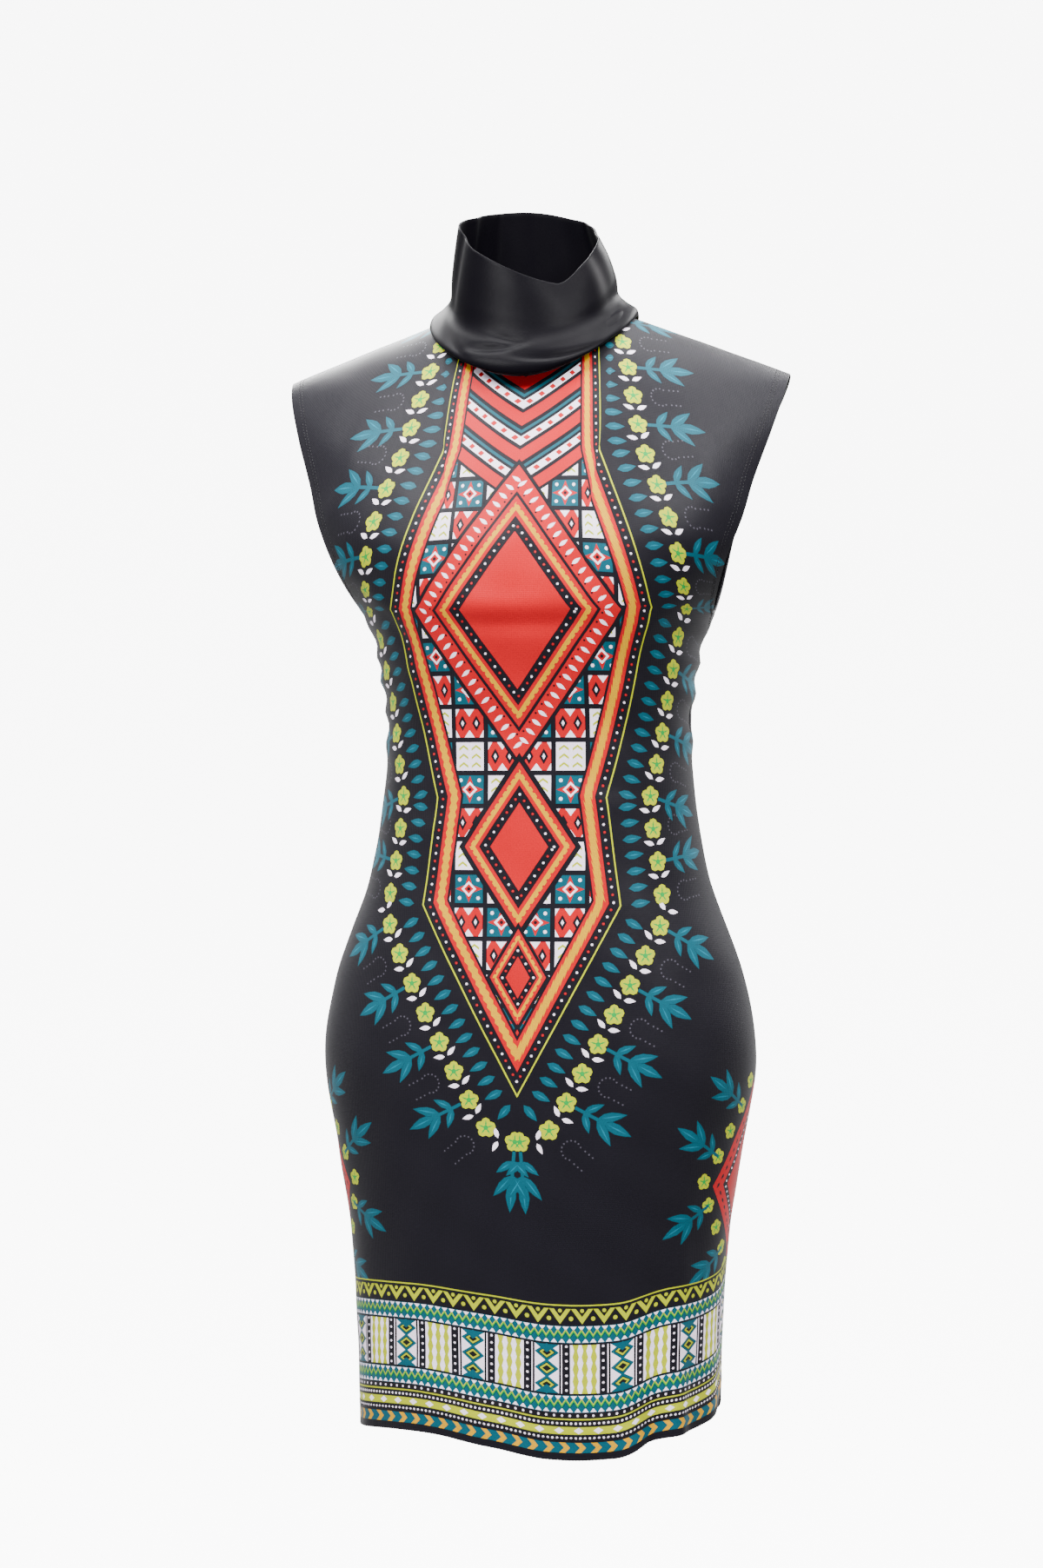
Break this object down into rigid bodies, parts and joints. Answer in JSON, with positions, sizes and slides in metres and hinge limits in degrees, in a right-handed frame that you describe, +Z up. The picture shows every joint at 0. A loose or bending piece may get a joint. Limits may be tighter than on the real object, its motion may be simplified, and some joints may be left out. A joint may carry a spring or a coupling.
{
  "type": "bodycon dress",
  "caption": "Sleeveless close-fitting dress with a printed front and back, wide cut-in shoulders and a rolled satin funnel collar, filled out as worn.",
  "frame": {"origin": "midway between the shoulders inside the dress, level with the foot of the collar's roll, where the wearer's shoulders hold it", "axes": "+Z up from hem to collar, the front faces -Y, +X on the right of someone who faces the front"},
  "size_m": [0.4222, 0.252, 1.0391],
  "materials": {
    "jersey": "printed polyester stretch jersey, near-black ground",
    "satin": "black satin with a soft sheen"
  },
  "bodies": {
    "root": {"front_panel": "jersey", "back_panel": "jersey", "collar": "satin"}
  },
  "joints": []
}
